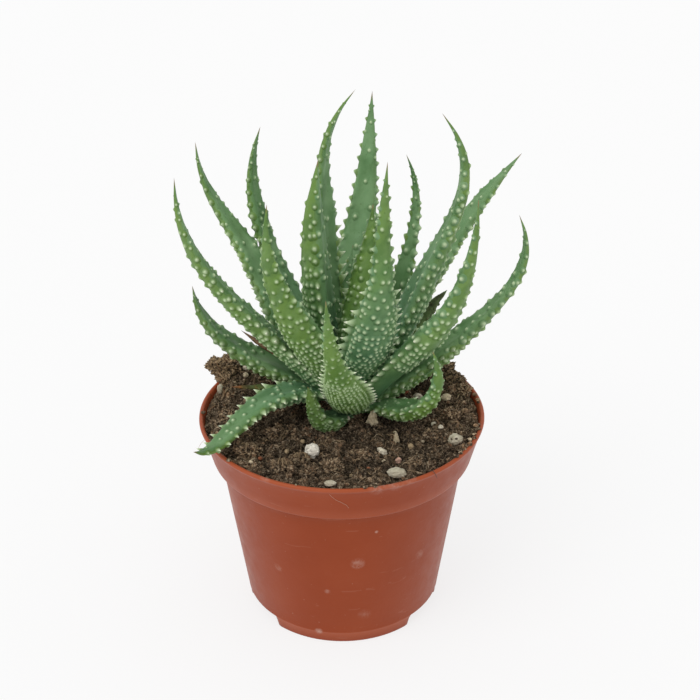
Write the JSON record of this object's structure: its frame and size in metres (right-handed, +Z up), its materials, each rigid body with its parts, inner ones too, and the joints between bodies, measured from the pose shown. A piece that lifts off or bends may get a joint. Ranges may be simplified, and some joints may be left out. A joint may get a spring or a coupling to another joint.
{
  "type": "potted aloe plant",
  "caption": "Small rosette of tapering, toothed succulent leaves growing in soil in a tapered plastic nursery pot that rests on a flat base.",
  "frame": {"origin": "centre of the pot's flat underside, on the surface that it stands on", "axes": "+Z up along the pot's axis; +Y points away from the side with the leaf that hangs over the rim, +X to its right"},
  "size_m": [0.1077, 0.1008, 0.1671],
  "materials": {
    "pot_plastic": "satin moulded terracotta-coloured plastic",
    "soil": "dark damp peat with crumbs and fibres",
    "stem": "dull fibrous",
    "leaf": "waxy green skin with pale bumps and teeth",
    "dry_leaf": "dry shrivelled orange brown to dark",
    "perlite": "white, rough and pitted",
    "stone": "rough, tan to grey",
    "bark": "rough, split"
  },
  "bodies": {
    "root": {"pot": "pot_plastic", "soil": "soil", "stem_and_roots": "stem", "leaf_front": "leaf", "leaf_hooked": "leaf", "leaf_over_rim": "leaf", "leaf_curl_right": "leaf", "leaf_front_right": "leaf", "leaf_front_left": "leaf", "leaf_mid_left": "leaf", "leaf_right_front": "leaf", "leaf_heart_right": "leaf", "leaf_heart_left": "leaf", "leaf_tall_back": "leaf", "leaf_tall_left": "leaf", "leaf_tall_right": "leaf", "leaf_right_low": "leaf", "leaf_left_outer": "leaf", "leaf_left_low": "leaf", "leaf_back_left": "leaf", "leaf_left_rear": "leaf", "leaf_back_right": "leaf", "leaf_right_rear": "leaf", "leaf_right_under": "leaf", "leaf_back_low": "leaf", "leaf_back_low_left": "leaf", "leaf_broken": "dry_leaf", "leaf_dried": "dry_leaf", "leaf_withered": "dry_leaf", "perlite_front": "perlite", "stone_front": "stone", "stone_right": "stone", "stone_front_small": "stone", "stone_left": "stone", "bark_crown": "bark", "bark_sliver": "bark", "pebble_crown": "stone"}
  },
  "joints": []
}
